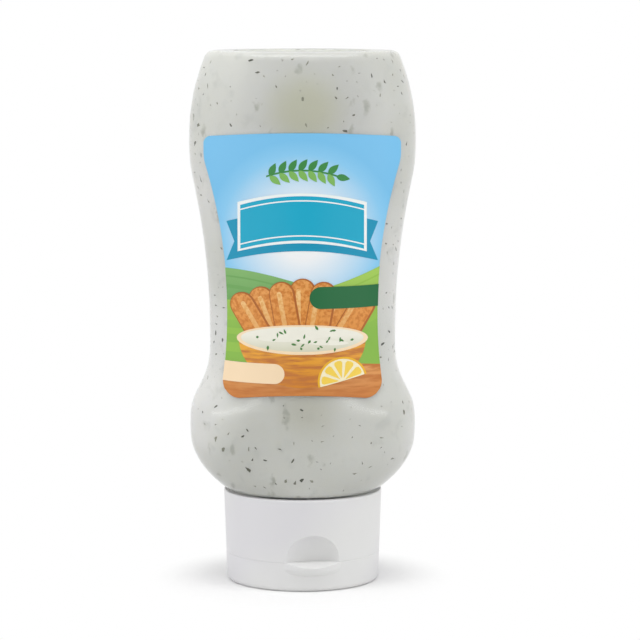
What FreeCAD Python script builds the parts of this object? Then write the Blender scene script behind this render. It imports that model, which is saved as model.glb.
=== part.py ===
import FreeCAD, Part
import math
import os

import Sketcher

# A shut squeeze bottle of tartar sauce that stands on its flip-top cap, base uppermost.
# Millimetres, +Z up. The origin is on the standing face, under the axis of the cap and the bottle.
# The front label and the thumb recess of the cap face -Y.

doc = FreeCAD.newDocument("TartarSauceBottle")

# ------------------------------------------------------------------ driving sizes
SIZES = {
    # cap: a collar round the neck, and the flip lid that the bottle stands on
    "lid_height": 9.7,
    "collar_height": 20.85,
    "cap_rim_radius": 26.4,
    "cap_parting_radius": 25.7,
    "cap_foot_radius": 25.35,
    "cap_foot_round": 1.5,
    "cap_rim_round": 0.4,
    "parting_bevel": 0.12,
    "cap_turn": 8.0,
    # thumb recess in the collar: a scoop that is cut off by the top of the lid
    "recess_half_width": 10.6,
    "recess_rise": 9.35,
    "recess_bite": 4.0,
    "recess_offset": 1.3,
    # lip of the lid, under the recess: its top falls away to the front
    "lip_half_width": 9.2,
    "lip_reach": 1.5,
    "lip_fall": 1.5,
    "lip_face": 1.8,
    "lip_round": 2.8,
    # flat across the parting line at the back, where the lid is hinged
    "hinge_flat_depth": 0.9,
    "hinge_flat_rise": 2.4,
    # neck of the bottle, seated in the collar's socket
    "neck_radius": 19.0,
    "neck_length": 13.0,
    "neck_wall": 1.6,
    "socket_clearance": 0.1,
    "rim_gap": 0.2,
    # stages of the bottle, from the shoulder up
    "shoulder_rise": 19.3,
    "hip_band": 4.7,
    "hip_slope": 23.5,
    "waist_band": 6.5,
    "chest_slope": 60.0,
    "chest_band": 4.0,
    "crown_rise": 28.0,
    "crown_round": 3.0,
    "shoulder_radius": 25.0,
    "hip_width": 75.1,
    "waist_width": 61.8,
    "chest_width": 75.0,
    "crown_width": 64.6,
    "body_depth": 50.8,
    "crown_depth": 44.8,
    "wall": 0.9,
    # hollow in the base
    "dish_width": 46.0,
    "dish_depth": 29.0,
    "dish_sink": 2.6,
    # labels: margins from the silhouette of the bottle, and the cut outline
    "film": 0.2,
    "label_head_margin": 5.2,
    "label_waist_margin": 6.4,
    "label_waist_rise": 6.5,
    "label_foot_margin": 10.6,
    "label_head_rise": 0.5,
    "label_foot_rise": 8.2,
    "label_upright": 7.3,
    "label_head_crown": 1.7,
    "label_foot_crown": 2.3,
    "label_head_round": 2.6,
    "label_shoulder_round": 14.0,
    "label_foot_round": 5.0,
}

sheet = doc.addObject("Spreadsheet::Sheet", "Sizes")
for row, (alias, number) in enumerate(SIZES.items(), start=1):
    sheet.set(f"A{row}", alias)
    sheet.set(f"B{row}", str(number))
    sheet.setAlias(f"B{row}", alias)
doc.recompute()


class Size:
    """A length worked out from the sheet: the expression that says how, and its present value."""

    def __init__(self, text, number):
        self.text = text
        self.number = number

    def __add__(self, other):
        other = as_size(other)
        return Size(f"({self.text} + {other.text})", self.number + other.number)

    def __sub__(self, other):
        other = as_size(other)
        return Size(f"({self.text} - {other.text})", self.number - other.number)

    def __mul__(self, other):
        other = as_size(other)
        return Size(f"{self.text} * {other.text}", self.number * other.number)

    def __truediv__(self, other):
        other = as_size(other)
        return Size(f"{self.text} / ({other.text})", self.number / other.number)

    def __neg__(self):
        return Size(f"(0 - {self.text})", -self.number)


def as_size(value):
    return value if isinstance(value, Size) else Size(f"{value:.6f}", float(value))


def cell(alias):
    return Size(f"Sizes.{alias}", float(getattr(sheet, alias)))


# ------------------------------------------------------------------ levels along the axis
PARTING = cell("lid_height")
CAP_TOP = PARTING + cell("collar_height")
SHOULDER = CAP_TOP + cell("rim_gap")
DECK = SHOULDER - cell("neck_length")
HIP = SHOULDER + cell("shoulder_rise")
HIP_TOP = HIP + cell("hip_band")
WAIST = HIP_TOP + cell("hip_slope")
WAIST_TOP = WAIST + cell("waist_band")
CHEST = WAIST_TOP + cell("chest_slope")
CHEST_TOP = CHEST + cell("chest_band")
TOP = CHEST_TOP + cell("crown_rise")


# ------------------------------------------------------------------ helpers
def new_body(name):
    body = doc.addObject("PartDesign::Body", name)
    body.Label = name
    return body


def on_plane(body, kind, name, role="XY_Plane", **offsets):
    """A new feature on one of its body's origin planes, moved from it by the offsets x, y and z."""
    feature = body.newObject(kind, name)
    plane = next(item for item in body.Origin.OriginFeatures if item.Role == role)
    feature.AttachmentSupport = [(plane, "")]
    feature.MapMode = "FlatFace"
    for axis, offset in offsets.items():
        feature.setExpression(f"AttachmentOffset.Base.{axis}", offset.text)
    return feature


def new_sketch(body, name, **where):
    return on_plane(body, "Sketcher::SketchObject", name, **where)


def bind(sketch, kind, *elements, to):
    """Adds a constraint whose value is a size."""
    index = sketch.addConstraint(Sketcher.Constraint(kind, *elements, to.number))
    sketch.setExpression(f"Constraints[{index}]", to.text)


def circle_sketch(body, name, level, radius):
    sketch = new_sketch(body, name, z=level)
    sketch.addGeometry(Part.Circle(FreeCAD.Vector(), FreeCAD.Vector(0, 0, 1), radius.number), False)
    sketch.addConstraint(Sketcher.Constraint("Coincident", 0, 3, -1, 1))
    bind(sketch, "Radius", 0, to=radius)
    return sketch


def oval_sketch(body, name, level, width, depth):
    """An ellipse round the axis, its long axis along X."""
    sketch = new_sketch(body, name, z=level)
    end = FreeCAD.Vector(width.number / 2, 0, 0)
    side = FreeCAD.Vector(0, depth.number / 2, 0)
    sketch.addGeometry(Part.Ellipse(end, side, FreeCAD.Vector()), False)
    sketch.exposeInternalGeometry(0)
    long_axis, short_axis = 1, 2
    sketch.addConstraint(Sketcher.Constraint("Coincident", 0, 3, -1, 1))
    sketch.addConstraint(Sketcher.Constraint("Horizontal", long_axis))
    bind(sketch, "Distance", long_axis, to=width)
    bind(sketch, "Distance", short_axis, to=depth)
    return sketch


def closed_outline(sketch, corners, in_front=False):
    """Each corner is a distance from the axis, or None on it, and a level."""
    side = -1 if in_front else 1
    places = [FreeCAD.Vector(side * x.number if x else 0, y.number, 0) for x, y in corners]
    count = len(corners)
    for i in range(count):
        sketch.addGeometry(Part.LineSegment(places[i], places[(i + 1) % count]), False)
    for i in range(count):
        sketch.addConstraint(Sketcher.Constraint("Coincident", i, 2, (i + 1) % count, 1))
    for i, (x, y) in enumerate(corners):
        if x is None:
            sketch.addConstraint(Sketcher.Constraint("PointOnObject", i, 1, -2))
        elif in_front:
            bind(sketch, "DistanceX", i, 1, -1, 1, to=x)
        else:
            bind(sketch, "DistanceX", -1, 1, i, 1, to=x)
        if y.number == 0:
            sketch.addConstraint(Sketcher.Constraint("PointOnObject", i, 1, -1))
        else:
            bind(sketch, "DistanceY", -1, 1, i, 1, to=y)
    return sketch


def half_section(body, name, corners):
    """A closed outline to revolve, on one side of the axis."""
    return closed_outline(new_sketch(body, name, role="XZ_Plane"), corners)


def revolve(body, name, sketch):
    turn = body.newObject("PartDesign::Revolution", name)
    turn.Profile = sketch
    turn.ReferenceAxis = (sketch, ["V_Axis"])
    turn.Angle = 360.0
    doc.recompute()
    return turn


def pad(body, name, sketch, length, reversed_way=False):
    feature = body.newObject("PartDesign::Pad", name)
    feature.Profile = sketch
    feature.setExpression("Length", length.text)
    feature.Reversed = reversed_way
    doc.recompute()
    return feature


def scoop_out(body, name, rise, half_width, half_depth, **centre):
    """Cuts an ellipsoid away."""
    scoop = on_plane(body, "PartDesign::SubtractiveEllipsoid", name, **centre)
    for number, radius in enumerate((rise, half_width, half_depth), start=1):
        scoop.setExpression(f"Radius{number}", radius.text)
    scoop.Angle1 = -90
    scoop.Angle2 = 90
    scoop.Angle3 = 360
    doc.recompute()


def outer_ring(feature, level):
    """Name of the widest circular edge of a feature at a level."""
    rings = []
    for number, edge in enumerate(feature.Shape.Edges, start=1):
        box = edge.BoundBox
        if edge.Closed and abs(box.ZMin - level.number) < 1e-4 and abs(box.ZMax - level.number) < 1e-4:
            rings.append((box.XLength, f"Edge{number}"))
    return max(rings)[1]


def round_edges(body, name, feature, edges, radius):
    fillet = body.newObject("PartDesign::Fillet", name)
    fillet.Base = (feature, edges)
    fillet.setExpression("Radius", radius.text)
    doc.recompute()
    return fillet


# ------------------------------------------------------------------ shape of the bottle
def eased(t, rise_end, fall_start):
    """A smooth step: a parabola, a straight line and a parabola that meet tangentially."""
    slope = 2 / (1 + fall_start - rise_end)
    if t < rise_end:
        return slope * t * t / (2 * rise_end)
    if t < fall_start:
        return slope * (t - rise_end / 2)
    return 1 - slope * (1 - t) ** 2 / (2 * (1 - fall_start))


def arc_share(t, reach):
    """How far a round shoulder has fallen in: 0 at the hip, 1 at the ring; reach is its arc's sine."""
    return (1 - math.sqrt(1 - (reach * t) ** 2)) / (1 - math.sqrt(1 - reach**2))


def between(first, last, share):
    return first + (last - first) * share


def hull_stations(inset):
    """Level, width and depth of each section of the bottle's outline, set in by inset."""
    ring = cell("shoulder_radius") * 2
    hip, waist, chest = cell("hip_width"), cell("waist_width"), cell("chest_width")
    crown, crown_depth = cell("crown_width"), cell("crown_depth")
    depth, corner = cell("body_depth"), cell("crown_round")
    stations = []
    for t in (0.86, 0.7, 0.52, 0.34, 0.17, 0.0):
        share = arc_share(t, reach=0.7)
        level = HIP - cell("shoulder_rise") * t
        stations.append((level, between(hip, ring, share), between(depth, ring, share)))
    for t in (0.0, 0.14, 0.28, 0.42, 0.58, 0.79, 1.0):
        share = eased(t, 0.4, 0.45)
        stations.append((HIP_TOP + cell("hip_slope") * t, between(hip, waist, share), depth))
    for t in (0.0, 0.13, 0.26, 0.39, 0.52, 0.65, 0.75, 0.83, 0.91, 1.0):
        share = eased(t, 0.75, 0.85)
        stations.append((WAIST_TOP + cell("chest_slope") * t, between(waist, chest, share), depth))
    corner_start = math.radians(20)
    slope_rise = cell("crown_rise") - corner * (1 - math.sin(corner_start))
    for t in (0.0, 0.2, 0.4, 0.6, 0.8, 0.95):
        share = t * t
        level = CHEST_TOP + slope_rise * t
        stations.append((level - inset * t, between(chest, crown, share), between(depth, crown_depth, share)))
    for angle in (20, 38, 56, 73, 90):
        drop = 1 - math.sin(math.radians(angle))
        fall = 2 * (math.cos(corner_start) - math.cos(math.radians(angle)))
        stations.append((TOP - inset - corner * drop, crown - corner * fall, crown_depth - corner * fall))
    return [(level, width - inset * 2, across - inset * 2) for level, width, across in stations]


def hull(name, inset, foot):
    """The bottle's outline as a solid, set in by inset, that starts from the shoulder ring at foot."""
    body = new_body(name)
    ring = circle_sketch(body, f"{name}_ring", foot, cell("shoulder_radius") - inset)
    sections = []
    for number, (level, width, depth) in enumerate(hull_stations(inset), start=1):
        sections.append(oval_sketch(body, f"{name}_section{number}", level, width, depth))
    loft = body.newObject("PartDesign::AdditiveLoft", f"{name}_loft")
    loft.Profile = ring
    loft.Sections = sections
    doc.recompute()
    return body


def sink_dish(body, inset):
    """The hollow in the base, which is uppermost."""
    rise, half_width, half_depth = cell("dish_sink"), cell("dish_width") / 2, cell("dish_depth") / 2
    scoop_out(body, f"{body.Name}_dish", rise + inset, half_width + inset, half_depth + inset, z=TOP)


def add_neck(body, radius):
    """The neck, from inside the shoulder down to the deck of the collar."""
    root = SHOULDER + cell("wall") * 2
    ring = circle_sketch(body, f"{body.Name}_neck_ring", root, radius)
    pad(body, f"{body.Name}_neck", ring, root - DECK, reversed_way=True)


# ------------------------------------------------------------------ sauce and bottle
def make_sauce():
    """The sauce fills the bottle and its neck, down to the collar that shuts them."""
    body = hull("sauce", cell("wall"), SHOULDER + cell("wall"))
    add_neck(body, cell("neck_radius") - cell("neck_wall"))
    sink_dish(body, cell("wall"))
    return body


def make_bottle(sauce):
    outline = hull("outline", as_size(0), SHOULDER)
    add_neck(outline, cell("neck_radius"))
    sink_dish(outline, as_size(0))
    bottle = doc.addObject("Part::Cut", "bottle")
    bottle.Label = "bottle"
    bottle.Base = outline
    bottle.Tool = sauce
    doc.recompute()
    return outline, bottle


# ------------------------------------------------------------------ cap
def turn_cap(body):
    """The cap is screwed on as far as it goes, a little past square."""
    body.Placement = FreeCAD.Placement(FreeCAD.Vector(), FreeCAD.Rotation(FreeCAD.Vector(0, 0, 1), 1))
    body.setExpression("Placement.Rotation.Angle", cell("cap_turn").text)


def cut_hinge_flat(body):
    """A flat across the parting line at the back of the cap."""
    depth, rise, reach = cell("hinge_flat_depth"), cell("hinge_flat_rise"), cell("cap_rim_radius")
    corner = {"x": -reach, "y": cell("cap_parting_radius") - depth, "z": PARTING - rise}
    flat = on_plane(body, "PartDesign::SubtractiveBox", f"{body.Name}_hinge_flat", **corner)
    flat.setExpression("Length", (reach * 2).text)
    flat.setExpression("Width", (depth * 4).text)
    flat.setExpression("Height", (rise * 2).text)
    doc.recompute()


def make_collar():
    """The collar holds the neck in a socket; its front is scooped out for the thumb."""
    body = new_body("cap_collar")
    bore = cell("neck_radius") + cell("socket_clearance")
    bevel = cell("parting_bevel")
    outline = half_section(body, "collar_outline", [
        (None, PARTING),
        (cell("cap_parting_radius") - bevel, PARTING),
        (cell("cap_parting_radius"), PARTING + bevel),
        (cell("cap_rim_radius"), CAP_TOP),
        (bore, CAP_TOP),
        (bore, DECK),
        (None, DECK),
    ])
    shell = revolve(body, "collar_shell", outline)
    round_edges(body, "collar_rim", shell, [outer_ring(shell, CAP_TOP)], cell("cap_rim_round"))
    offset = cell("recess_offset")
    centre = {"y": -(cell("cap_parting_radius") + offset), "z": PARTING}
    half_width, half_depth = cell("recess_half_width"), cell("recess_bite") + offset
    scoop_out(body, "thumb_recess", cell("recess_rise"), half_width, half_depth, **centre)
    cut_hinge_flat(body)
    turn_cap(body)
    return body


def lip_sketch(body, radius, centre):
    """Half section of the disc whose rim is the lip: an upright face over a quarter round."""
    face, rounding = cell("lip_face"), cell("lip_round")
    sketch = new_sketch(body, "lip_outline", role="XZ_Plane", z=centre)
    low = PARTING - face
    bend = FreeCAD.Vector((radius - rounding).number, low.number, 0)
    axis_top = FreeCAD.Vector(0, PARTING.number, 0)
    rim_top = FreeCAD.Vector(radius.number, PARTING.number, 0)
    rim_low = FreeCAD.Vector(radius.number, low.number, 0)
    root = FreeCAD.Vector(bend.x, (low - rounding).number, 0)
    axis_low = FreeCAD.Vector(0, root.y, 0)
    curve = Part.Circle(bend, FreeCAD.Vector(0, 0, 1), rounding.number)
    top = sketch.addGeometry(Part.LineSegment(axis_top, rim_top), False)
    rim = sketch.addGeometry(Part.LineSegment(rim_low, rim_top), False)
    quarter = sketch.addGeometry(Part.ArcOfCircle(curve, -math.pi / 2, 0), False)
    bottom = sketch.addGeometry(Part.LineSegment(root, axis_low), False)
    axis = sketch.addGeometry(Part.LineSegment(axis_low, axis_top), False)
    sketch.addConstraint(Sketcher.Constraint("Coincident", top, 2, rim, 2))
    sketch.addConstraint(Sketcher.Constraint("Tangent", rim, 1, quarter, 2))
    sketch.addConstraint(Sketcher.Constraint("Tangent", bottom, 1, quarter, 1))
    sketch.addConstraint(Sketcher.Constraint("Coincident", bottom, 2, axis, 1))
    sketch.addConstraint(Sketcher.Constraint("Coincident", axis, 2, top, 1))
    sketch.addConstraint(Sketcher.Constraint("PointOnObject", top, 1, -2))
    sketch.addConstraint(Sketcher.Constraint("Horizontal", top))
    sketch.addConstraint(Sketcher.Constraint("Vertical", rim))
    sketch.addConstraint(Sketcher.Constraint("Horizontal", bottom))
    sketch.addConstraint(Sketcher.Constraint("Vertical", axis))
    bind(sketch, "DistanceY", -1, 1, top, 1, to=PARTING)
    bind(sketch, "DistanceX", top, 1, top, 2, to=radius)
    bind(sketch, "DistanceY", rim, 1, rim, 2, to=face)
    bind(sketch, "Radius", quarter, to=rounding)
    return sketch


def slope_lip(body, chord, stand):
    """Cuts away what stands over a slope, which falls to the front from the chord under the lip."""
    fall, far = cell("lip_fall"), chord + stand * 2
    corners = [(chord, PARTING), (chord, PARTING + fall), (far, PARTING + fall), (far, PARTING - fall * 2)]
    outline = closed_outline(new_sketch(body, "lip_slope_outline", role="YZ_Plane"), corners, in_front=True)
    slope = body.newObject("PartDesign::Pocket", "lip_slope")
    slope.Profile = outline
    slope.SideType = "Symmetric"
    slope.setExpression("Length", (chord * 2).text)
    doc.recompute()


def make_lid():
    """The flip lid, shut: a disc with a lip at the front that the thumb lifts."""
    body = new_body("cap_lid")
    edge, bevel = cell("cap_parting_radius"), cell("parting_bevel")
    floor = as_size(0)
    outline = half_section(body, "lid_outline", [
        (None, floor),
        (cell("cap_foot_radius"), floor),
        (edge, PARTING - bevel),
        (edge - bevel, PARTING),
        (None, PARTING),
    ])
    disc = revolve(body, "lid_disc", outline)
    round_edges(body, "lid_foot", disc, [outer_ring(disc, floor)], cell("cap_foot_round"))

    # the lip is the rim of a smaller disc, which leaves the lid's own rim at the ends of the lip
    half = cell("lip_half_width")
    nose = edge + cell("lip_reach")
    stand = cell("lip_reach") + half * half / (edge * 2)
    radius = (half * half / stand + stand) / 2
    revolve(body, "lid_lip", lip_sketch(body, radius, nose - radius))
    slope_lip(body, nose - stand, stand)
    cut_hinge_flat(body)
    turn_cap(body)
    return body


# ------------------------------------------------------------------ labels
def label_sketch(body):
    """The cut outline of a label, seen square on: it follows the waist of the bottle."""
    head = cell("chest_width") / 2 - cell("label_head_margin")
    waist = cell("waist_width") / 2 - cell("label_waist_margin")
    foot = cell("hip_width") / 2 - cell("label_foot_margin")
    head_level = CHEST_TOP + cell("label_head_rise")
    shoulder_level = head_level - cell("label_upright")
    waist_level = WAIST_TOP + cell("label_waist_rise")
    foot_level = HIP_TOP + cell("label_foot_rise")
    crown_level = head_level + cell("label_head_crown")
    arch_level = foot_level + cell("label_foot_crown")

    sketch = new_sketch(body, f"{body.Name}_cut", role="XZ_Plane")
    axis, origin = -2, (-1, 1)

    def vector(x, y, side=1):
        return FreeCAD.Vector(side * x.number, y.number, 0)

    def end_at(index, place):
        """Which end of a line or an arc lies at a place: 1 for its start, 2 for its end."""
        return (index, 1) if sketch.getPoint(index, 1).distanceToPoint(place) < 1e-6 else (index, 2)

    def point_on(index, place):
        point = sketch.addGeometry(Part.Point(place), True)
        sketch.addConstraint(Sketcher.Constraint("PointOnObject", point, 1, index))
        return point

    vertices = {"head": (head, head_level), "shoulder": (head, shoulder_level), "foot": (foot, foot_level)}
    right = {name: vector(x, y) for name, (x, y) in vertices.items()}
    left = {name: vector(x, y, side=-1) for name, (x, y) in vertices.items()}
    zero = as_size(0)
    top = sketch.addGeometry(Part.Arc(right["head"], vector(zero, crown_level), left["head"]), False)
    arch = sketch.addGeometry(Part.Arc(left["foot"], vector(zero, arch_level), right["foot"]), False)
    ends = {}
    sides = []
    for side, places in ((1, right), (-1, left)):
        upright = sketch.addGeometry(Part.LineSegment(places["shoulder"], places["head"]), False)
        middle = vector(waist, waist_level, side)
        flank = sketch.addGeometry(Part.Arc(places["foot"], middle, places["shoulder"]), False)
        joints = {"head": (top, upright), "shoulder": (upright, flank), "foot": (flank, arch)}
        for name, (first, second) in joints.items():
            ends[side, name] = end_at(first, places[name])
            joined = end_at(second, places[name])
            sketch.addConstraint(Sketcher.Constraint("Coincident", *ends[side, name], *joined))
        sides.append(point_on(flank, middle))
    for name, (x, y) in vertices.items():
        sketch.addConstraint(Sketcher.Constraint("Symmetric", *ends[1, name], *ends[-1, name], axis))
        bind(sketch, "DistanceX", *origin, *ends[1, name], to=x)
        bind(sketch, "DistanceY", *origin, *ends[1, name], to=y)
    sketch.addConstraint(Sketcher.Constraint("Symmetric", sides[0], 1, sides[1], 1, axis))
    bind(sketch, "DistanceX", *origin, sides[0], 1, to=waist)
    bind(sketch, "DistanceY", *origin, sides[0], 1, to=waist_level)
    for arc, level in ((top, crown_level), (arch, arch_level)):
        point = point_on(arc, vector(zero, level))
        sketch.addConstraint(Sketcher.Constraint("PointOnObject", point, 1, axis))
        bind(sketch, "DistanceY", *origin, point, 1, to=level)
    return sketch, vertices


def upright_edges(feature, vertices, name):
    """Names of the edges of a pad that stand on the two vertices of its outline called name."""
    x, y = vertices[name]
    names = []
    for number, edge in enumerate(feature.Shape.Edges, start=1):
        middle = edge.BoundBox.Center
        if abs(abs(middle.x) - x.number) < 1e-3 and abs(middle.z - y.number) < 1e-3:
            names.append(f"Edge{number}")
    return names


def make_label(name, film, outline, forwards):
    """The part of a thin skin over the bottle that lies behind the cut outline."""
    cutter = new_body(f"{name}_cutter")
    sketch, vertices = label_sketch(cutter)
    block = pad(cutter, f"{name}_block", sketch, cell("body_depth"), reversed_way=not forwards)
    for corner in ("head", "shoulder", "foot"):
        edges = upright_edges(block, vertices, corner)
        block = round_edges(cutter, f"{name}_{corner}_corners", block, edges, cell(f"label_{corner}_round"))
    skin = doc.addObject("Part::Common", f"{name}_skin")
    skin.Base = film
    skin.Tool = cutter
    label = doc.addObject("Part::Cut", name)
    label.Label = name
    label.Base = skin
    label.Tool = outline
    doc.recompute()
    return label


# ------------------------------------------------------------------ the parts
def main():
    sauce = make_sauce()
    outline, bottle = make_bottle(sauce)
    film = hull("film", -cell("film"), SHOULDER)
    parts = [
        sauce,
        bottle,
        make_collar(),
        make_lid(),
        make_label("label_front", film, outline, forwards=True),
        make_label("label_back", film, outline, forwards=False),
    ]
    doc.recompute()
    for item in doc.Objects:
        if "Invalid" in item.State or "Error" in item.State:
            raise RuntimeError(f"{item.Label} did not build: {item.State}")
    for item in parts:
        if item.Shape.isNull() or not item.Shape.isValid() or len(item.Shape.Solids) != 1:
            raise RuntimeError(f"{item.Label} is not one sound solid")
    os.makedirs("parts", exist_ok=True)
    for item in parts:
        item.Shape.exportStep(f"parts/{item.Label}.step")
        print(f"{item.Label}: {item.Shape.Volume / 1000:.2f} cm3")


main()
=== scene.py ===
import bmesh
import bpy
import math
import random
from mathutils import Matrix, Vector
from mathutils.bvhtree import BVHTree


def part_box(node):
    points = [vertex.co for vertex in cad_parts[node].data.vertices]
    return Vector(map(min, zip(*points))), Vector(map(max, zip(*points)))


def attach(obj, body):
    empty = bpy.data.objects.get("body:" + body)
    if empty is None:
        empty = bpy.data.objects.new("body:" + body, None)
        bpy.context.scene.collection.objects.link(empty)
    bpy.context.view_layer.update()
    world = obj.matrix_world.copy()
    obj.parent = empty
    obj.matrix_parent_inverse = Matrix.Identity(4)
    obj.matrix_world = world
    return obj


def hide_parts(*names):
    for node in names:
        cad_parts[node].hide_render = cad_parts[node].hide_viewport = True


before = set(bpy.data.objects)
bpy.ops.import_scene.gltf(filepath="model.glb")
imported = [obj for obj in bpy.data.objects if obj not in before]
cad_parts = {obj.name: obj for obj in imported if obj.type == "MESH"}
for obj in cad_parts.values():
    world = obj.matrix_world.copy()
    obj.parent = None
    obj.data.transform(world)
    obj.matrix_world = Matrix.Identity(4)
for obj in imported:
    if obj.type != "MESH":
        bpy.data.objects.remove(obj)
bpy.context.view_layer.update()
scene = bpy.context.scene
mm = 0.001
print("frame loaded")


def paint(red, green, blue):
    def linear(value):
        value = value / 255
        return value / 12.92 if value <= 0.04045 else ((value + 0.055) / 1.055) ** 2.4
    return (linear(red), linear(green), linear(blue), 1.0)


def newMaterial(name):
    material = bpy.data.materials.new(name)
    material.use_nodes = True
    tree = material.node_tree
    return material, tree, tree.nodes["Principled BSDF"]


def link(tree, value, socket):
    if isinstance(value, bpy.types.NodeSocket):
        tree.links.new(value, socket)
    else:
        socket.default_value = value


def addNode(tree, kind, inputs=None, **settings):
    node = tree.nodes.new(kind)
    for key, value in settings.items():
        setattr(node, key, value)
    for key, value in (inputs or {}).items():
        link(tree, value, node.inputs[key])
    return node


def calculate(tree, operation, first, second):
    return addNode(tree, "ShaderNodeMath", {0: first, 1: second}, operation=operation).outputs[0]


def mixColours(tree, factor, first, second, blend="MIX"):
    mix = addNode(tree, "ShaderNodeMix", data_type="RGBA", blend_type=blend)
    for socket, value in ((mix.inputs[0], factor), (mix.inputs[6], first), (mix.inputs[7], second)):
        link(tree, value, socket)
    return mix.outputs[2]


def noise(tree, place, scale, detail):
    inputs = {"Vector": place, "Scale": scale, "Detail": detail}
    return addNode(tree, "ShaderNodeTexNoise", inputs).outputs["Fac"]


def addRamp(tree, factor, stops):
    ramp = addNode(tree, "ShaderNodeValToRGB", {"Fac": factor})
    while len(ramp.color_ramp.elements) < len(stops):
        ramp.color_ramp.elements.new(0.5)
    for element, (place, colour) in zip(ramp.color_ramp.elements, stops):
        element.position = place
        element.color = colour
    return ramp.outputs["Color"]


def dress(node, material):
    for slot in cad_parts[node].material_slots:
        slot.material = material


def addPiece(name, mesh, material):
    mesh.name = name
    mesh.materials.append(material)
    mesh.shade_smooth()
    piece = bpy.data.objects.new(name, mesh)
    scene.collection.objects.link(piece)
    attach(piece, "root")
    return piece


def meshFrom(vertices, faces):
    mesh = bpy.data.meshes.new("shape")
    mesh.from_pydata([tuple(vertex) for vertex in vertices], [], faces)
    mesh.update()
    return mesh


def treeOf(node):
    return BVHTree.FromObject(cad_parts[node], bpy.context.evaluated_depsgraph_get())


# the outline is felt out on the bottle of the frame, level by level
bottleTree = treeOf("bottle")
labelTree = treeOf("label_front")
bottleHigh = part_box("bottle")[1]
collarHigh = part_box("cap_collar")[1]
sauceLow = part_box("sauce")[0]
labelLow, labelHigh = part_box("label_front")

outlineSetup = {
    "shoulder": collarHigh.z + 0.22 * mm,
    "top": bottleHigh.z - 0.02 * mm,
    "levels": 320,
    "step": 0.4 * mm,  # how far up and down a slope is felt
}


def feel(tree, start, way):
    return tree.ray_cast(Vector(start), Vector(way))[0]


def measureOutline():
    first, last, count = outlineSetup["shoulder"], outlineSetup["top"], outlineSetup["levels"]
    rows = []
    for i in range(count + 1):
        z = first + (last - first) * i / count
        side = feel(bottleTree, (1, 0, z), (-1, 0, 0))
        front = feel(bottleTree, (0, -1, z), (0, 1, 0))
        rows.append((side.x, -front.y))
    return rows


outlineRows = measureOutline()


def ovalAt(z):
    first, last, count = outlineSetup["shoulder"], outlineSetup["top"], outlineSetup["levels"]
    place = min(max((z - first) / (last - first) * count, 0), count - 0.001)
    i = int(place)
    share = place - i
    (a, b), (nextA, nextB) = outlineRows[i], outlineRows[i + 1]
    return a + (nextA - a) * share, b + (nextB - b) * share


def wallNormal(angle, z):
    step = outlineSetup["step"]
    a, b = ovalAt(z)
    lowA, lowB = ovalAt(z - step)
    highA, highB = ovalAt(z + step)
    sine, cosine = math.sin(angle), math.cos(angle)
    sideways = Vector((a * cosine, b * sine, 0))
    up = Vector(((highA - lowA) * sine, -(highB - lowB) * cosine, 2 * step))
    return sideways.cross(up).normalized()


def wallPoint(angle, z, sink):
    a, b = ovalAt(z)
    return Vector((a * math.sin(angle), -b * math.cos(angle), z)) - wallNormal(angle, z) * sink


def baseHeight(x, y):
    return feel(bottleTree, (x, y, 1), (0, 0, -1)).z


def boundary(inside, outside):
    # the place between two points, seen square on, where the label ends
    for step in range(13):
        middle = (inside + outside) / 2
        if feel(labelTree, (middle.x, -1, middle.z), (0, 1, 0)):
            inside = middle
        else:
            outside = middle
    return inside


print("outline measured")

cameraSetup = {
    "place": (0.0058, -1.0, 0.21075),
    "pitch": math.radians(90 - 7.05),
    "focalLength": 169.9,
    "sensor": 36.0,
}

lightSetup = {
    "sky": 0.56,
    "aim": (0, 0, 0.09),
    "lamps": {
        "leftLamp": {"place": (-1.0, -0.4, 0.4), "size": (0.6, 1.0), "power": 3.1, "lights": "diffuse"},
        "rightLamp": {"place": (1.0, -0.35, 0.4), "size": (0.6, 1.0), "power": 3.2, "lights": "diffuse"},
        "topLamp": {"place": (0.0, -0.2, 0.95), "size": (0.9, 0.5), "power": 3.0, "lights": "both"},
        "leftStrip": {"place": (-0.9, -0.8, 0.03), "size": (1.9, 0.07), "power": 2.5, "lights": "glossy"},
        "rightStrip": {"place": (0.95, -0.9, 0.03), "size": (1.5, 0.07), "power": 2.0, "lights": "glossy"},
    },
}

floorSetup = {
    "size": 12,
    "colour": (0.98, 0.98, 0.98, 1),
    "bounce": (0.84, 0.84, 0.84, 1),  # as the object sees it
    "roughness": 0.9,
    "shadowReach": 0.026,
    "whiteFrom": 0.052,
}


def addCamera():
    data = bpy.data.cameras.new("camera")
    data.sensor_width = cameraSetup["sensor"]
    data.lens = cameraSetup["focalLength"]
    data.clip_end = 20.0
    camera = bpy.data.objects.new("camera", data)
    camera.location = cameraSetup["place"]
    camera.rotation_euler = (cameraSetup["pitch"], 0, 0)
    scene.collection.objects.link(camera)
    scene.camera = camera


def addLamps():
    for name, setup in lightSetup["lamps"].items():
        data = bpy.data.lights.new(name, "AREA")
        data.shape = "RECTANGLE"
        data.size, data.size_y = setup["size"]
        data.energy = setup["power"]
        lamp = bpy.data.objects.new(name, data)
        lamp.visible_glossy = setup["lights"] != "diffuse"
        lamp.visible_diffuse = setup["lights"] != "glossy"
        lamp.visible_transmission = setup["lights"] != "glossy"
        lamp.location = setup["place"]
        towards = Vector(lightSetup["aim"]) - lamp.location
        lamp.rotation_euler = towards.to_track_quat("-Z", "Y").to_euler()
        scene.collection.objects.link(lamp)


def seesWhite(tree):
    path = addNode(tree, "ShaderNodeLightPath")
    direct = calculate(tree, "MAXIMUM", path.outputs["Is Camera Ray"], path.outputs["Is Transmission Ray"])
    return calculate(tree, "MAXIMUM", direct, path.outputs["Is Glossy Ray"])


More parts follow.
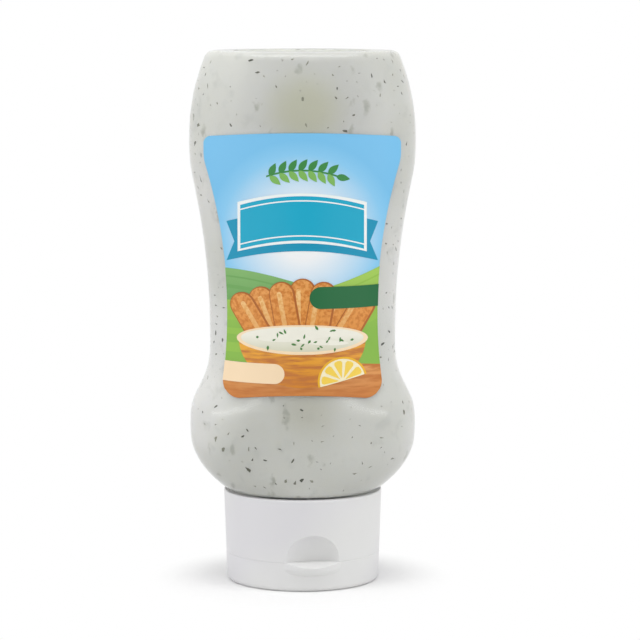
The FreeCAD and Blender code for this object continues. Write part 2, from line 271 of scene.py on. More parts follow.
def addSky():
    world = bpy.data.worlds.new("sky")
    world.use_nodes = True
    tree = world.node_tree
    light = tree.nodes["Background"]
    light.inputs["Color"].default_value = (1, 1, 1, 1)
    light.inputs["Strength"].default_value = lightSetup["sky"]
    white = addNode(tree, "ShaderNodeBackground", {"Color": (1, 1, 1, 1), "Strength": 1.0})
    seen = seesWhite(tree)
    mix = addNode(tree, "ShaderNodeMixShader", {0: seen, 1: light.outputs[0], 2: white.outputs[0]})
    tree.links.new(mix.outputs[0], tree.nodes["World Output"].inputs["Surface"])
    scene.world = world


def addFloor():
    bpy.ops.mesh.primitive_plane_add(size=floorSetup["size"])
    floor = bpy.context.object
    floor.name = "floor"
    material, tree, surface = newMaterial("floorWhite")
    seen = addNode(tree, "ShaderNodeLightPath").outputs["Is Camera Ray"]
    colour = mixColours(tree, seen, floorSetup["bounce"], floorSetup["colour"])
    tree.links.new(colour, surface.inputs["Base Color"])
    surface.inputs["Roughness"].default_value = floorSetup["roughness"]
    place = addNode(tree, "ShaderNodeTexCoord").outputs["Object"]
    reach = addNode(tree, "ShaderNodeVectorMath", {0: place}, operation="LENGTH").outputs["Value"]
    fade = addNode(tree, "ShaderNodeMapRange", {
        "Value": reach,
        "From Min": floorSetup["shadowReach"],
        "From Max": floorSetup["whiteFrom"],
    }, interpolation_type="SMOOTHSTEP").outputs["Result"]
    share = calculate(tree, "MULTIPLY", fade, seesWhite(tree))
    white = addNode(tree, "ShaderNodeEmission", {"Color": (1, 1, 1, 1), "Strength": 1.0})
    mix = addNode(tree, "ShaderNodeMixShader", {0: share, 1: surface.outputs[0], 2: white.outputs[0]})
    tree.links.new(mix.outputs[0], tree.nodes["Material Output"].inputs["Surface"])
    floor.data.materials.append(material)


scene.view_settings.view_transform = "Standard"
addCamera()
addLamps()
addSky()
addFloor()
print("camera, light and floor set")

sauceSetup = {
    "intoWall": 0.45 * mm,  # the rest of the wall stays clear
    "neckGap": 0.55 * mm,
    "around": 192,
    "levels": 170,
    "baseRings": 20,
    "pale": paint(216, 216, 213),
    "cream": paint(208, 209, 204),
    "green": paint(199, 200, 194),
    "grey": paint(190, 192, 187),
    "softBit": paint(160, 162, 152),
    "cloudScale": 24.0,
    "lumpScale": 190.0,
    "patchCore": 0.2,  # share of a patch's reach at full strength
    "patches": [  # millimetres
        {"at": (4, -24, 160), "reach": 38, "share": 0.85, "colour": paint(190, 191, 188)},
        {"at": (1, -24, 158), "reach": 17, "share": 0.7, "colour": paint(182, 183, 160)},
        {"at": (2, -22, 61), "reach": 14, "share": 0.45, "colour": paint(180, 179, 162)},
    ],
    "glow": 0.3,  # how much light goes into the sauce
    "glowReach": 3 * mm,
    "glowTint": (1.0, 0.9, 0.7),
    "roughness": 0.5,
    "shine": 0.2,
}

softBitSetup = {
    "cellScale": 230.0,
    "share": 0.18,  # of the cells that hold a bit
    "edge": 0.36,
    "heart": 0.1,
    "strength": 0.7,
    "raggedScale": 420.0,
    "raggedReach": 3 * mm,
    "stretch": (1, 1, 0.5),
}


def softBits(tree, place):
    # bits of herb that lie a little deeper: blurred spots in a few of the cells
    setup = softBitSetup
    ragged = addNode(tree, "ShaderNodeTexNoise", {
        "Vector": place,
        "Scale": setup["raggedScale"],
        "Detail": 2.0,
    }).outputs["Color"]
    shift = addNode(tree, "ShaderNodeVectorMath", {
        0: ragged,
        "Scale": setup["raggedReach"],
    }, operation="SCALE").outputs["Vector"]
    bent = addNode(tree, "ShaderNodeVectorMath", {
        0: place,
        1: setup["stretch"],
        2: shift,
    }, operation="MULTIPLY_ADD").outputs["Vector"]
    cells = addNode(tree, "ShaderNodeTexVoronoi", {"Vector": bent, "Scale": setup["cellScale"]})
    spot = addNode(tree, "ShaderNodeMapRange", {
        "Value": cells.outputs["Distance"],
        "From Min": setup["edge"],
        "From Max": setup["heart"],
        "To Max": setup["strength"],
    }, interpolation_type="SMOOTHSTEP").outputs["Result"]
    pick = addNode(tree, "ShaderNodeSeparateColor", {0: cells.outputs["Color"]}).outputs["Red"]
    return calculate(tree, "MULTIPLY", spot, calculate(tree, "LESS_THAN", pick, setup["share"]))


def sauceMaterial():
    material, tree, surface = newMaterial("tartarSauce")
    place = addNode(tree, "ShaderNodeTexCoord").outputs["Object"]
    clouds = noise(tree, place, sauceSetup["cloudScale"], 1.5)
    base = addRamp(tree, clouds, [
        (0.36, sauceSetup["green"]),
        (0.52, sauceSetup["cream"]),
        (0.66, sauceSetup["pale"]),
    ])
    lumps = noise(tree, place, sauceSetup["lumpScale"], 2.0)
    lumpMask = addRamp(tree, lumps, [(0.58, (0, 0, 0, 1)), (0.72, (0.55, 0.55, 0.55, 1))])
    colour = mixColours(tree, lumpMask, base, sauceSetup["grey"])
    for patch in sauceSetup["patches"]:
        middle = tuple(part * mm for part in patch["at"])
        away = addNode(tree, "ShaderNodeVectorMath", {0: place, 1: middle}, operation="DISTANCE")
        mask = addNode(tree, "ShaderNodeMapRange", {
            "Value": away.outputs["Value"],
            "From Min": patch["reach"] * mm,
            "From Max": patch["reach"] * mm * sauceSetup["patchCore"],
            "To Max": patch["share"],
        }, interpolation_type="SMOOTHSTEP").outputs["Result"]
        colour = mixColours(tree, mask, colour, patch["colour"])
    colour = mixColours(tree, softBits(tree, place), colour, sauceSetup["softBit"])
    tree.links.new(colour, surface.inputs["Base Color"])
    surface.inputs["Subsurface Weight"].default_value = sauceSetup["glow"]
    surface.inputs["Subsurface Radius"].default_value = sauceSetup["glowTint"]
    surface.inputs["Subsurface Scale"].default_value = sauceSetup["glowReach"]
    surface.inputs["Roughness"].default_value = sauceSetup["roughness"]
    surface.inputs["Specular IOR Level"].default_value = sauceSetup["shine"]
    return material


def sauceRings():
    into = sauceSetup["intoWall"]
    shoulder, top = outlineSetup["shoulder"], outlineSetup["top"]
    neck = -feel(treeOf("sauce"), (0, -1, sauceLow.z + 1 * mm), (0, 1, 0)).y + into
    neckTop = shoulder + sauceSetup["neckGap"]
    rings = [(neck * 0.5, neck * 0.5, sauceLow.z), (neck, neck, sauceLow.z), (neck, neck, neckTop)]
    count = sauceSetup["levels"]
    for i in range(count + 1):
        z = neckTop + (top - neckTop) * i / count
        side, front = wallPoint(math.pi / 2, z, into), wallPoint(0, z, into)
        rings.append((side.x, -front.y, min(z, bottleHigh.z - into)))
    return rings


def buildSauce():
    around, into = sauceSetup["around"], sauceSetup["intoWall"]
    rings = sauceRings()
    turns = [2 * math.pi * j / around for j in range(around)]
    vertices = [(a * math.cos(t), b * math.sin(t), z) for a, b, z in rings for t in turns]
    lastA, lastB = rings[-1][:2]
    for i in range(1, sauceSetup["baseRings"]):
        share = 1 - i / sauceSetup["baseRings"]
        for t in turns:
            x, y = lastA * share * math.cos(t), lastB * share * math.sin(t)
            vertices.append((x, y, baseHeight(x, y) - into))
    ringCount = len(vertices) // around
    faces = []
    for i in range(ringCount - 1):
        for j in range(around):
            k = (j + 1) % around
            faces.append((i * around + j, i * around + k, (i + 1) * around + k, (i + 1) * around + j))
    faces.append(tuple(range(around))[::-1])
    faces.append(tuple(range((ringCount - 1) * around, ringCount * around)))
    piece = addPiece("sauceBody", meshFrom(vertices, faces), sauceMaterial())
    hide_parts("sauce")


buildSauce()
print("sauce filled in")

fleckSetup = {
    "seed": 11,
    "proud": 0.06 * mm,
    "thick": 0.14 * mm,
    "spacing": 2.4 * mm,
    "wallCount": 900,
    "baseCount": 26,
    "longest": 1.25 * mm,  # half of the length
    "shortest": 0.32 * mm,
    "hooked": 0.015,  # share of curled bits
    "hookRadius": 1.5 * mm,
    "fromShoulder": 1.5 * mm,
    "fromTop": 1.0 * mm,
    "fromLabel": 0.4 * mm,
    "tries": 20000,
    "roughness": 0.6,
    "dark": paint(58, 63, 50),
    "brown": paint(86, 86, 70),
    "pale": paint(146, 148, 132),
}


def fleckMaterial():
    material, tree, surface = newMaterial("herbFleck")
    chance = addNode(tree, "ShaderNodeNewGeometry").outputs["Random Per Island"]
    colour = addRamp(tree, chance, [
        (0.0, fleckSetup["dark"]),
        (0.45, fleckSetup["brown"]),
        (1.0, fleckSetup["pale"]),
    ])
    tree.links.new(colour, surface.inputs["Base Color"])
    surface.inputs["Roughness"].default_value = fleckSetup["roughness"]
    return material


def hookShape(chance):
    # a curled bit: a strip along an arc, thicker in the middle
    radius, lean = fleckSetup["hookRadius"] * chance.uniform(0.7, 1.1), chance.uniform(0, 2 * math.pi)
    sweep = chance.uniform(1.5, 2.4)
    outer, inner = [], []
    for i in range(7):
        turn = lean + sweep * i / 6
        half = radius * chance.uniform(0.12, 0.34) * (0.35 + math.sin(math.pi * i / 6))
        outer.append(((radius + half) * math.cos(turn), (radius + half) * math.sin(turn)))
        inner.append(((radius - half) * math.cos(turn), (radius - half) * math.sin(turn)))
    return outer + inner[::-1]


def fleckShape(chance):
    if chance.random() < fleckSetup["hooked"]:
        return hookShape(chance)
    shortest, longest = fleckSetup["shortest"], fleckSetup["longest"]
    size = shortest + (longest - shortest) * chance.random() ** 1.7
    narrow = size * chance.uniform(0.22, 0.62)
    lean = chance.uniform(0, math.pi)
    count = chance.randint(3, 6)
    corners = []
    for i in range(count):
        turn = 2 * math.pi * (i + chance.uniform(-0.3, 0.3)) / count
        reach = chance.uniform(0.6, 1.1)
        along, across = size * reach * math.cos(turn), narrow * reach * math.sin(turn)
        x = along * math.cos(lean) - across * math.sin(lean)
        y = along * math.sin(lean) + across * math.cos(lean)
        corners.append((x, y))
    return corners


def addPrism(vertices, faces, outer, inner):
    start, count = len(vertices), len(outer)
    vertices += outer + inner
    faces.append(tuple(start + i for i in range(count)))
    for i in range(count):
        k = (i + 1) % count
        faces.append((start + i, start + count + i, start + count + k, start + k))


def underLabel(x, z):
    if not labelLow.z - 0.5 * mm < z < labelHigh.z + 0.5 * mm:
        return False
    level = Vector((0, 0, min(z, labelHigh.z - 2.5 * mm)))
    return abs(x) < boundary(level, level + Vector((40 * mm, 0, 0))).x + fleckSetup["fromLabel"]


def scatterPlaces(chance):
    first = outlineSetup["shoulder"] + fleckSetup["fromShoulder"]
    last = outlineSetup["top"] - fleckSetup["fromTop"]
    places = []
    tries = 0
    while len(places) < fleckSetup["wallCount"] and tries < fleckSetup["tries"]:
        tries += 1
        angle, z = chance.uniform(-math.pi, math.pi), chance.uniform(first, last)
        point = wallPoint(angle, z, 0)
        crowded = any((point - other).length < fleckSetup["spacing"] for angle2, z2, other in places)
        if not crowded:
            places.append((angle, z, point))
    return [(angle, z) for angle, z, point in places if not underLabel(point.x, z)]


def buildFlecks():
    chance = random.Random(fleckSetup["seed"])
    outSink = sauceSetup["intoWall"] - fleckSetup["proud"]
    inSink = outSink + fleckSetup["thick"]
    vertices, faces = [], []
    for angle, z in scatterPlaces(chance):
        a, b = ovalAt(z)
        stride = math.hypot(a * math.cos(angle), b * math.sin(angle))
        rise = math.sqrt(max(1 - wallNormal(angle, z).z ** 2, 0.05))
        spots = [(angle + along / stride, z + up * rise) for along, up in fleckShape(chance)]
        outer = [wallPoint(t, h, outSink) for t, h in spots]
        addPrism(vertices, faces, outer, [wallPoint(t, h, inSink) for t, h in spots])
    a, b = ovalAt(outlineSetup["top"])
    for i in range(fleckSetup["baseCount"]):
        reach, turn = math.sqrt(chance.random()) * 0.86, chance.uniform(0, 2 * math.pi)
        x, y = a * reach * math.cos(turn), b * reach * math.sin(turn)
        spots = [(x + along, y + across) for along, across in fleckShape(chance)]
        outer = [Vector((u, v, baseHeight(u, v) - outSink)) for u, v in spots]
        addPrism(vertices, faces, outer, [point - Vector((0, 0, fleckSetup["thick"])) for point in outer])
    addPiece("herbFlecks", meshFrom(vertices, faces), fleckMaterial()).data.shade_flat()


buildFlecks()
print("flecks scattered")

bottleSetup = {
    "tint": paint(250, 250, 250),
    "shadowTint": (0.97, 0.97, 0.97, 1),
    "roughness": 0.16,
    "ior": 1.46,
}


def bottleMaterial():
    material, tree, surface = newMaterial("clearPlastic")
    surface.inputs["Base Color"].default_value = bottleSetup["tint"]
    surface.inputs["Roughness"].default_value = bottleSetup["roughness"]
    surface.inputs["IOR"].default_value = bottleSetup["ior"]
    surface.inputs["Transmission Weight"].default_value = 1.0
    clear = addNode(tree, "ShaderNodeBsdfTransparent", {"Color": bottleSetup["shadowTint"]})
    path = addNode(tree, "ShaderNodeLightPath")
    mix = addNode(tree, "ShaderNodeMixShader",
                  {0: path.outputs["Is Shadow Ray"], 1: surface.outputs[0], 2: clear.outputs[0]})
    tree.links.new(mix.outputs[0], tree.nodes["Material Output"].inputs["Surface"])
    return material


dress("bottle", bottleMaterial())
print("bottle dressed")

capSetup = {
    "white": paint(230, 230, 229),
    "cool": paint(225, 224, 227),
    "cloudScale": 30.0,
    "roughness": 0.36,
}


def capMaterial():
    material, tree, surface = newMaterial("whiteCap")
    place = addNode(tree, "ShaderNodeTexCoord").outputs["Object"]
    clouds = noise(tree, place, capSetup["cloudScale"], 0.0)
    colour = addRamp(tree, clouds, [(0.4, capSetup["cool"]), (0.6, capSetup["white"])])
    tree.links.new(colour, surface.inputs["Base Color"])
    surface.inputs["Roughness"].default_value = capSetup["roughness"]
    return material


capWhite = capMaterial()
dress("cap_collar", capWhite)
dress("cap_lid", capWhite)
print("cap dressed")

labelSetup = {
    "film": 0.2 * mm,
    "lift": 0.05 * mm,  # the print over the film
    "ink": 0.02 * mm,  # one print layer
    "cellWidth": 1.5 * mm,
    "cellHeight": 2.5 * mm,
    "margin": 0.06 * mm,  # between the print and the film's edge
    "merge": 0.02 * mm,
    "roughness": 0.36,
    "shine": 0.3,
    "footHeight": 9.0 * mm,
}

skySetup = {
    "blue": paint(140, 208, 247),
    "deep": paint(124, 199, 243),
    "glow": paint(250, 252, 253),
    "glowHeight": 54,  # millimetres, as in all that is printed
    "glowReach": 31,
}


def newGroup(name, inputs):
    # a shader group with named inputs that gives one colour
    group = bpy.data.node_groups.new(name, "ShaderNodeTree")
    for label, kind in inputs.items():
        group.interface.new_socket(label, in_out="INPUT", socket_type="NodeSocket" + kind)
    group.interface.new_socket("Colour", in_out="OUTPUT", socket_type="NodeSocketColor")
    given = addNode(group, "NodeGroupInput").outputs
    return group, given, addNode(group, "NodeGroupOutput").inputs["Colour"]


def buildInkBlend():
    # a blend from Low to High between two heights, with a share of specks of the colour Grain on it
    group, given, result = newGroup("inkBlend", {
        "Low": "Color",
        "High": "Color",
        "From": "Float",
        "To": "Float",
        "Grain": "Color",
        "Grain Share": "Float",
        "Grain Scale": "Float",
        "Grain Squash": "Float",
    })
    place = addNode(group, "ShaderNodeTexCoord").outputs["Object"]
    height = addNode(group, "ShaderNodeSeparateXYZ", {0: place}).outputs["Z"]
    share = addNode(group, "ShaderNodeMapRange", {
        "Value": height,
        "From Min": given["From"],
        "From Max": given["To"],
    }).outputs["Result"]
    colour = mixColours(group, share, given["Low"], given["High"])
    squash = addNode(group, "ShaderNodeCombineXYZ", {"X": 1.0, "Y": 1.0, "Z": given["Grain Squash"]})
    stretched = addNode(group, "ShaderNodeVectorMath", {
        0: place,
        1: squash.outputs[0],
    }, operation="MULTIPLY").outputs[0]
    speckle = noise(group, stretched, given["Grain Scale"], 3.0)
    mask = addRamp(group, speckle, [(0.42, (0, 0, 0, 1)), (0.62, (1, 1, 1, 1))])
    grain = calculate(group, "MULTIPLY", mask, given["Grain Share"])
    link(group, mixColours(group, grain, colour, given["Grain"]), result)
    return group


def buildSkyOverFoot():
    # sky, and below Foot Height the colour of what is printed at the foot
    group, given, result = newGroup("skyOverFoot", {"Foot Colour": "Color", "Foot Height": "Float"})
    place = addNode(group, "ShaderNodeTexCoord").outputs["Object"]
    parts = addNode(group, "ShaderNodeSeparateXYZ", {0: place}).outputs
    height = calculate(group, "SUBTRACT", parts["Z"], labelLow.z + skySetup["glowHeight"] * mm)
    spread = addNode(group, "ShaderNodeCombineXYZ", {"X": parts["X"], "Z": height}).outputs[0]
    reach = addNode(group, "ShaderNodeVectorMath", {0: spread}, operation="LENGTH").outputs["Value"]
    glow = calculate(group, "DIVIDE", reach, skySetup["glowReach"] * mm)
    sky = addRamp(group, glow, [
        (0.25, skySetup["glow"]),
        (0.85, skySetup["blue"]),
        (1.0, skySetup["deep"]),
    ])
    low = calculate(group, "LESS_THAN", parts["Z"], given["Foot Height"])
    link(group, mixColours(group, low, sky, given["Foot Colour"]), result)
    return group


inkBlend = buildInkBlend()
skyOverFoot = buildSkyOverFoot()


def plainInk(name, colour):
    material, tree, surface = newMaterial(name)
    link(tree, colour, surface.inputs["Base Color"])
    surface.inputs["Roughness"].default_value = labelSetup["roughness"]
    surface.inputs["Specular IOR Level"].default_value = labelSetup["shine"]
    return material


def groupInk(name, group, values):
    material = plainInk(name, (1, 1, 1, 1))
    tree = material.node_tree
    colour = addNode(tree, "ShaderNodeGroup", values, node_tree=group).outputs["Colour"]
    tree.links.new(colour, tree.nodes["Principled BSDF"].inputs["Base Color"])
    return material


def blendUp(name, low, high, bottom, top, grain=None):
    # bottom and top are heights above the label's foot, in millimetres
    values = {"Low": low, "High": high, "From": labelLow.z + bottom * mm, "To": labelLow.z + top * mm}
    if grain:
        values["Grain"] = grain["colour"]
        values["Grain Share"] = 1.0
        values["Grain Scale"] = grain["scale"]
        values["Grain Squash"] = grain["squash"]
    return groupInk(name, inkBlend, values)


def filmInk(name, footColour):
    height = labelLow.z + labelSetup["footHeight"]
    return groupInk(name, skyOverFoot, {"Foot Colour": footColour, "Foot Height": height})


def edgeAt(height):
    start = Vector((19 * mm, 0, labelLow.z + height * mm))
    return (boundary(start, start + Vector((20 * mm, 0, 0))).x - labelSetup["margin"]) / mm


def footAt(x):
    start = Vector((x * mm, 0, labelLow.z + 7 * mm))
    return (boundary(start, start - Vector((0, 0, 8 * mm))).z - labelLow.z + labelSetup["margin"]) / mm


def signedArea(outline):
    return sum(x * nextY - nextX * y for (x, y), (nextX, nextY) in zip(outline, outline[1:] + outline[:1]))


def onLabel(place, layer, behind):
    angle = math.asin(min(max(place.x / ovalAt(place.z)[0], -0.999), 0.999))
    point = wallPoint(angle, place.z, -labelSetup["film"] - labelSetup["lift"] - labelSetup["ink"] * layer)
    turn = Matrix.Rotation(math.pi if behind else 0, 3, "Z")
    return turn @ point, turn @ wallNormal(angle, place.z)


def printShape(name, layer, material, outlines, behind=False):
    # outlines hold points across the label and above its foot, in millimetres
    sheet = bmesh.new()
    for outline in outlines:
        corners = outline if signedArea(outline) > 0 else outline[::-1]
        face = sheet.faces.new([sheet.verts.new((x * mm, 0, labelLow.z + y * mm)) for x, y in corners])
        face.normal_update()
    bmesh.ops.triangulate(sheet, faces=sheet.faces[:])
    cuts = ((Vector((1, 0, 0)), labelSetup["cellWidth"]), (Vector((0, 0, 1)), labelSetup["cellHeight"]))
    for way, step in cuts:
        reaches = [vertex.co.dot(way) for vertex in sheet.verts]
        for i in range(math.ceil(min(reaches) / step), math.ceil(max(reaches) / step)):
            everything = sheet.verts[:] + sheet.edges[:] + sheet.faces[:]
            bmesh.ops.bisect_plane(sheet, geom=everything, plane_co=way * step * i, plane_no=way)
    bmesh.ops.remove_doubles(sheet, verts=sheet.verts[:], dist=labelSetup["merge"])
    bmesh.ops.dissolve_degenerate(sheet, edges=sheet.edges[:], dist=labelSetup["merge"])
    normals = []
    for vertex in sheet.verts:
        vertex.co, normal = onLabel(vertex.co, layer, behind)
        normals.append(normal)
    mesh = bpy.data.meshes.new(name)
    sheet.to_mesh(mesh)
    sheet.free()
    piece = addPiece(name, mesh, material)
    piece.data.normals_split_custom_set_from_vertices(normals)


def fullBand(low, top, count=36):
    # low and top give a point of the band's lower and upper line, from -1, the left edge, to 1, the right
    places = [2 * i / count - 1 for i in range(count + 1)]
    under, over = [low(place) for place in places], [top(place) for place in places]
    sides = []
    for start, stop, side in ((under[-1][1], over[-1][1], 1), (over[0][1], under[0][1], -1)):
        heights = [start + (stop - start) * i / 12 for i in range(1, 12)]
        sides.append([(side * edgeAt(height), height) for height in heights])
    return under + sides[0] + over[::-1] + sides[1]


def across(place, height):
    return place * edgeAt(height), height


def turned(points, x, y, lean=0):
    sine, cosine = math.sin(math.radians(lean)), math.cos(math.radians(lean))
    return [(x + u * cosine - v * sine, y + u * sine + v * cosine) for u, v in points]


def oval(x, y, halfWidth, halfHeight, lean=0, start=0, end=360, count=40):
    arc = [math.radians(start + (end - start) * i / count) for i in range(count + (end - start < 360))]
    return turned([(halfWidth * math.cos(t), halfHeight * math.sin(t)) for t in arc], x, y, lean)


def stick(x, y, length, width, lean):
    # a bar with round ends that stands on its lower end
    radius = width / 2
    upper = [(radius * math.cos(t), length - radius + radius * math.sin(t))
             for t in [math.pi * i / 14 for i in range(15)]]
    return turned([(-radius, 0), (radius, 0)] + upper, x, y, lean)


def leaf(x, y, length, width, lean):
    steps = [i / 12 for i in range(13)]
    under = [(length * t, -width / 2 * math.sin(math.pi * t ** 0.8)) for t in steps]
    over = [(length * t, width / 2 * math.sin(math.pi * t ** 0.8)) for t in steps[-2:0:-1]]
    return turned(under + over, x, y, lean)


def archedStrip(middle, halfHeight, halfWidth, bow, notch=0, count=28):
    # a strip that bows upwards; its ends are notched
    places = [halfWidth * (2 * i / count - 1) for i in range(count + 1)]
    def lift(x):
        return middle - bow * (x / halfWidth) ** 2
    under = [(x, lift(x) - halfHeight) for x in places]
    over = [(x, lift(x) + halfHeight) for x in places[::-1]]
    rightNotch = [(halfWidth - notch, lift(halfWidth))] if notch else []
    leftNotch = [(notch - halfWidth, lift(halfWidth))] if notch else []
    return under + rightNotch + over + leftNotch


hillSetup = {
    "Left": {
        "low": paint(96, 158, 84),
        "high": paint(132, 184, 108),
        "blend": (26, 42),  # heights between which low turns into high
        "row": paint(112, 170, 92),
    },
    "Right": {
        "low": paint(138, 188, 74),
        "high": paint(170, 210, 90),
        "blend": (22, 43),
        "row": paint(150, 196, 76),
    },
    "rowDrops": (2.4, 5.4, 9.2, 14.0),
}


def leftHill(place):
    return across(place, 38.0 - 4.5 * math.sin(place * math.pi / 2))


def rightHill(place):
    return across(place, 32.0 + 11.0 * ((place + 1) / 2) ** 2)


def hillFoot(place):
    return across(place, 9.0)


def boardTop(place):
    return across(place, 10.5 + 2.0 * (1 - place * place))


def boardFoot(place):
    x = place * (edgeAt(4.5) - 0.6)
    return x, footAt(x)


def hillRows(hill):
    # rows of a field that follow the line of the hill, wider lower down
    def at(drop):
        return lambda place: across(place, hill(place)[1] - drop)
    return [fullBand(at(drop * 1.22), at(drop)) for drop in hillSetup["rowDrops"]]


def printHills(behind):
    side = "Back" if behind else "Front"
    for name, hill, layer in (("Left", leftHill, 1), ("Right", rightHill, 3)):
        setup = hillSetup[name]
        ink = blendUp("hill" + name + "Ink" + side, setup["low"], setup["high"], *setup["blend"])
        printShape("hill" + name + side, layer, ink, [fullBand(hillFoot, hill)], behind)
        rowInk = plainInk("rows" + name + "Ink" + side, setup["row"])
        printShape("rows" + name + side, layer + 1, rowInk, hillRows(hill), behind)


ribbonSetup = {
    "middle": 59.5,
    "halfHeight": 7.2,
    "halfWidth": 20.0,
    "bow": 3.2,
    "rim": 0.9,
    "tailDrop": 4.2,
    "tailReach": 4.6,
    "notch": 2.6,
    "lineInset": 1.5,
    "lineHalfHeight": 0.22,
    "cyan": paint(5, 171, 205),
    "shade": paint(3, 150, 188),
    "line": paint(247, 251, 250),
}


def printRibbon():
    middle, half = ribbonSetup["middle"], ribbonSetup["halfHeight"]
    width, bow, rim = ribbonSetup["halfWidth"], ribbonSetup["bow"], ribbonSetup["rim"]
    tails = archedStrip(middle - ribbonSetup["tailDrop"], half * 0.9, width + ribbonSetup["tailReach"],
                        bow * 1.2, ribbonSetup["notch"])
    printShape("ribbonTails", 1, plainInk("tailInk", ribbonSetup["shade"]), [tails])
    printShape("ribbonRim", 2, plainInk("rimInk", ribbonSetup["line"]),
               [archedStrip(middle, half + rim, width + rim, bow)])
    printShape("ribbonBand", 3, plainInk("bandInk", ribbonSetup["cyan"]),
               [archedStrip(middle, half, width, bow)])
    inset, thin = half - ribbonSetup["lineInset"], ribbonSetup["lineHalfHeight"]
    lines = [archedStrip(middle + side * inset, thin, width, bow) for side in (-1, 1)]
    printShape("ribbonLines", 4, plainInk("lineInk", ribbonSetup["line"]), lines)


sprigSetup = {
    "height": 75.0,
    "halfLength": 11.0,
    "pairs": 7,
    "leafLength": 4.6,
    "leafWidth": 2.2,
    "leafLean": 52,
    "bow": 2.0,
    "stemHalfHeight": 0.28,
    "green": paint(58, 138, 66),
    "light": paint(128, 186, 92),
}


def printSprig():
    length, height, bow = sprigSetup["halfLength"], sprigSetup["height"], sprigSetup["bow"]
    size, lean = (sprigSetup["leafLength"], sprigSetup["leafWidth"]), sprigSetup["leafLean"]
    leaves, lightLeaves = [], []
    for i in range(sprigSetup["pairs"]):
        x = length * (2 * i / sprigSetup["pairs"] - 0.95)
        y = height - bow * (x / length) ** 2
        slant = -14 * x / length
        leaves.append(leaf(x, y, *size, slant + lean))
        lightLeaves.append(leaf(x, y, *size, slant - lean))
    tip = leaf(length, height - bow, *size, -12)
    stem = archedStrip(height, sprigSetup["stemHalfHeight"], length * 1.05, bow)
    printShape("sprigLeaves", 1, plainInk("leafInk", sprigSetup["green"]), leaves + [tip, stem])
    printShape("sprigLightLeaves", 2, plainInk("lightLeafInk", sprigSetup["light"]), lightLeaves)


foodSetup = {
    "boardLow": paint(204, 126, 58),
    "boardHigh": paint(232, 168, 100),
    "boardGrain": {"scale": 110.0, "squash": 7.0, "colour": paint(196, 118, 54)},
    "crust": paint(226, 146, 60),
    "crustHigh": paint(236, 168, 92),
    "crustLight": paint(248, 204, 138),
    "crustShade": paint(178, 100, 38),
    "crumb": {"scale": 900.0, "squash": 1.0, "colour": paint(208, 124, 46)},
    "crumbLight": {"scale": 1100.0, "squash": 1.0, "colour": paint(232, 168, 90)},
    "bowlLow": paint(214, 132, 40),
    "bowlHigh": paint(245, 178, 56),
    "rim": paint(253, 228, 190),
    "dip": paint(246, 244, 230),
    "dipShade": paint(216, 216, 190),
    "herb": paint(74, 130, 62),
    "rind": paint(240, 184, 40),
    "pith": paint(253, 243, 205),
    "flesh": paint(250, 214, 84),
}


def printBoard():
    board = blendUp("boardInk", foodSetup["boardLow"], foodSetup["boardHigh"], 0, 12,
                    foodSetup["boardGrain"])
    printShape("board", 5, board, [fullBand(boardFoot, boardTop)])


stickSetup = {
    "leans": (31, 20.5, 10, 0, -10, -20.5, -31),
    "spread": 0.34,  # sideways, for each degree of lean
    "foot": 16,
    "length": 23.5,
    "shorter": 0.08,  # for each degree of lean
    "width": 7.4,
    "edgeWidth": 8.4,
    "shineWidth": 1.5,
}


def printSticks():
    food, foot = foodSetup, stickSetup["foot"]
    crust = blendUp("crustInk", food["crust"], food["crustHigh"], 20, 40, food["crumb"])
    light = blendUp("crustLightInk", food["crust"], food["crustLight"], 14, 34, food["crumbLight"])
    shade = plainInk("crustShadeInk", food["crustShade"])
    rows = {"Behind": ([], [], []), "InFront": ([], [], [])}
    for i, lean in enumerate(stickSetup["leans"]):
        x = -lean * stickSetup["spread"]
        length = stickSetup["length"] - abs(lean) * stickSetup["shorter"]
        edges, bars, shines = rows["Behind" if i % 2 else "InFront"]
        edges.append(stick(x + 0.2, foot, length + 0.4, stickSetup["edgeWidth"], lean))
        bars.append(stick(x, foot, length, stickSetup["width"], lean))
        shines.append(stick(x - 1.2, foot + 3, length - 6, stickSetup["shineWidth"], lean))
    for layer, (row, (edges, bars, shines)) in zip((6, 9), rows.items()):
        printShape("sticks" + row + "Edge", layer, shade, edges)
        printShape("sticks" + row, layer + 1, crust, bars)
        printShape("sticks" + row + "Shine", layer + 2, light, shines)


bowlSetup = {
    # middle across, height, half width, half height, lean
    "body": (0, 19.5, 20.5, 15.5),
    "rim": (0, 19.8, 21.2, 4.9),
    "dip": (0, 20.0, 19.8, 4.1),
    "swirls": ((-4, 20.4, 10, 1.2, 3), (6, 19.0, 9, 0.9, -4)),
    "herbSeed": 5,
    "herbCount": 26,
    "herbSpread": 0.9,
}


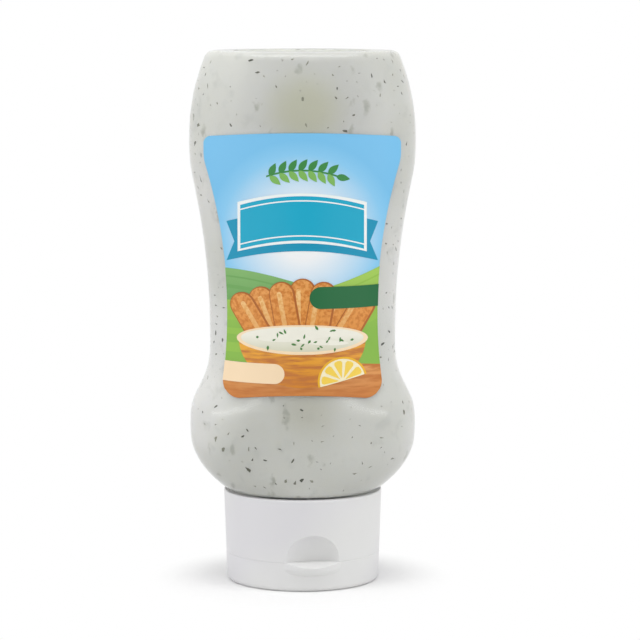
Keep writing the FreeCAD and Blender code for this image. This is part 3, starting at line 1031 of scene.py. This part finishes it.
def printBowl():
    bowl = blendUp("bowlInk", foodSetup["bowlLow"], foodSetup["bowlHigh"], 3, 19, foodSetup["boardGrain"])
    printShape("bowl", 12, bowl, [oval(*bowlSetup["body"], start=180, end=360)])
    printShape("bowlRim", 13, plainInk("bowlRimInk", foodSetup["rim"]), [oval(*bowlSetup["rim"])])
    dip = blendUp("dipInk", foodSetup["dipShade"], foodSetup["dip"], 15.5, 21)
    printShape("dip", 14, dip, [oval(*bowlSetup["dip"])])
    printShape("dipSwirl", 15, plainInk("swirlInk", foodSetup["dip"]),
               [oval(*swirl) for swirl in bowlSetup["swirls"]])
    chance = random.Random(bowlSetup["herbSeed"])
    middle, height, halfWidth, halfHeight = bowlSetup["dip"]
    herbs = []
    for i in range(bowlSetup["herbCount"]):
        turn = chance.uniform(0, 2 * math.pi)
        reach = math.sqrt(chance.random()) * bowlSetup["herbSpread"]
        x, y = middle + halfWidth * reach * math.cos(turn), height + halfHeight * reach * math.sin(turn)
        herbs.append(leaf(x, y, chance.uniform(0.9, 1.9), chance.uniform(0.5, 0.8), chance.uniform(0, 360)))
    printShape("dipHerbs", 16, plainInk("herbInk", foodSetup["herb"]), herbs)


lemonSetup = {
    "middle": (13.0, 6.0),
    "radius": 8.0,
    "lean": 14,
    "rind": 0.7,
    "fleshFrom": 1.3,  # below the rim
    "segments": 5,
    "segmentRim": ((-13, 0.9), (-9, 1), (0, 1.02), (9, 1), (13, 0.9)),  # degrees, share of the reach
}


def lemonSegment(x, y, reach, lean):
    corners = [(reach * 0.14, 0)]
    for degrees, share in lemonSetup["segmentRim"]:
        turn = math.radians(degrees)
        corners.append((reach * share * math.cos(turn), reach * share * math.sin(turn)))
    return turned(corners, x, y, lean)


def halfDisc(radius):
    return oval(*lemonSetup["middle"], radius, radius, lean=lemonSetup["lean"], start=0, end=180)


def printLemon():
    (x, y), radius, count = lemonSetup["middle"], lemonSetup["radius"], lemonSetup["segments"]
    printShape("lemonRind", 13, plainInk("rindInk", foodSetup["rind"]), [halfDisc(radius)])
    printShape("lemonPith", 14, plainInk("pithInk", foodSetup["pith"]),
               [halfDisc(radius - lemonSetup["rind"])])
    turns = [lemonSetup["lean"] + 180 / count * (i + 0.5) for i in range(count)]
    segments = [lemonSegment(x, y, radius - lemonSetup["fleshFrom"], turn) for turn in turns]
    printShape("lemonFlesh", 15, plainInk("fleshInk", foodSetup["flesh"]), segments)


tabSetup = {
    "green": {"colour": paint(23, 105, 57), "height": 33.5, "halfHeight": 3.6, "end": 6.0},
    "cream": {"colour": paint(253, 226, 188), "height": 8.5, "halfHeight": 3.3, "end": -9.0},
}


def tabOutline(tab, side):
    # from the label's edge, right for 1 and left for -1, to a round end
    height, half = tab["height"], tab["halfHeight"]
    steps = [-1 + i / 3 for i in range(7)]
    edge = [(side * edgeAt(height + side * half * s), height + side * half * s) for s in steps]
    return edge + oval(tab["end"], height, half, half, start=90 * side, end=90 * side + 180, count=16)


def printTabs():
    green, cream = tabSetup["green"], tabSetup["cream"]
    printShape("greenTab", 13, plainInk("greenTabInk", green["colour"]), [tabOutline(green, 1)])
    printShape("creamTab", 13, plainInk("creamTabInk", cream["colour"]), [tabOutline(cream, -1)])


backSetup = {
    "panel": paint(246, 248, 246),
    "halfWidth": 18,
    "bottom": 20,
    "top": 70,
    "corner": 2,
    "cornerShare": 0.12,  # of the half width
    "stripe": (77, 3.2, 21, 1.5),  # middle, half height, half width, bow
}


def backPanel():
    half, bottom, top, corner = (backSetup[key] for key in ("halfWidth", "bottom", "top", "corner"))
    inner = half * (1 - backSetup["cornerShare"])
    rightSide = [(inner, bottom), (half, bottom + corner), (half, top - corner), (inner, top)]
    leftSide = [(-x, y) for x, y in rightSide]
    return leftSide[:1] + rightSide + leftSide[:0:-1]


def printBack():
    printHills(behind=True)
    printShape("backFoot", 5, plainInk("backFootInk", tabSetup["green"]["colour"]),
               [fullBand(boardFoot, boardTop)], behind=True)
    printShape("backPanel", 6, plainInk("panelInk", backSetup["panel"]), [backPanel()], behind=True)
    printShape("backStripe", 1, plainInk("backStripeInk", ribbonSetup["cyan"]),
               [archedStrip(*backSetup["stripe"])], behind=True)


dress("label_front", filmInk("frontFilm", foodSetup["boardLow"]))
dress("label_back", filmInk("backFilm", tabSetup["green"]["colour"]))
printHills(behind=False)
printRibbon()
printSprig()
printBoard()
printSticks()
printBowl()
printLemon()
printTabs()
printBack()
print("labels printed")
